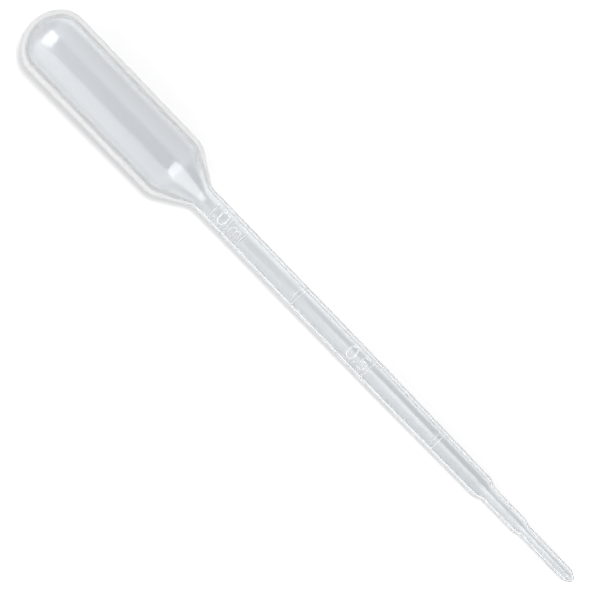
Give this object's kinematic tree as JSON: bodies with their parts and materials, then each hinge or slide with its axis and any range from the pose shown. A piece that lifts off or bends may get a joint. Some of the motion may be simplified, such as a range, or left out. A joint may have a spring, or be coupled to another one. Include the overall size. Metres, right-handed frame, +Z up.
{
  "type": "plastic dropper pipette",
  "caption": "One-piece translucent plastic dropper pipette: a soft squeeze bulb, a long graduated stem and a stepped fine tip, lying on its side.",
  "frame": {"origin": "centre of the bounding box in X and Y, on the surface that the pipette lies on", "axes": "+X along the pipette's length towards the drop orifice, whose axis falls 3 degrees; +Z up, the graduated side; +Y across, to the left of an observer looking along +X"},
  "size_m": [0.1498, 0.0144, 0.016],
  "materials": {
    "polyethylene": "satin"
  },
  "bodies": {
    "root": {"pipette": "polyethylene"}
  },
  "joints": []
}
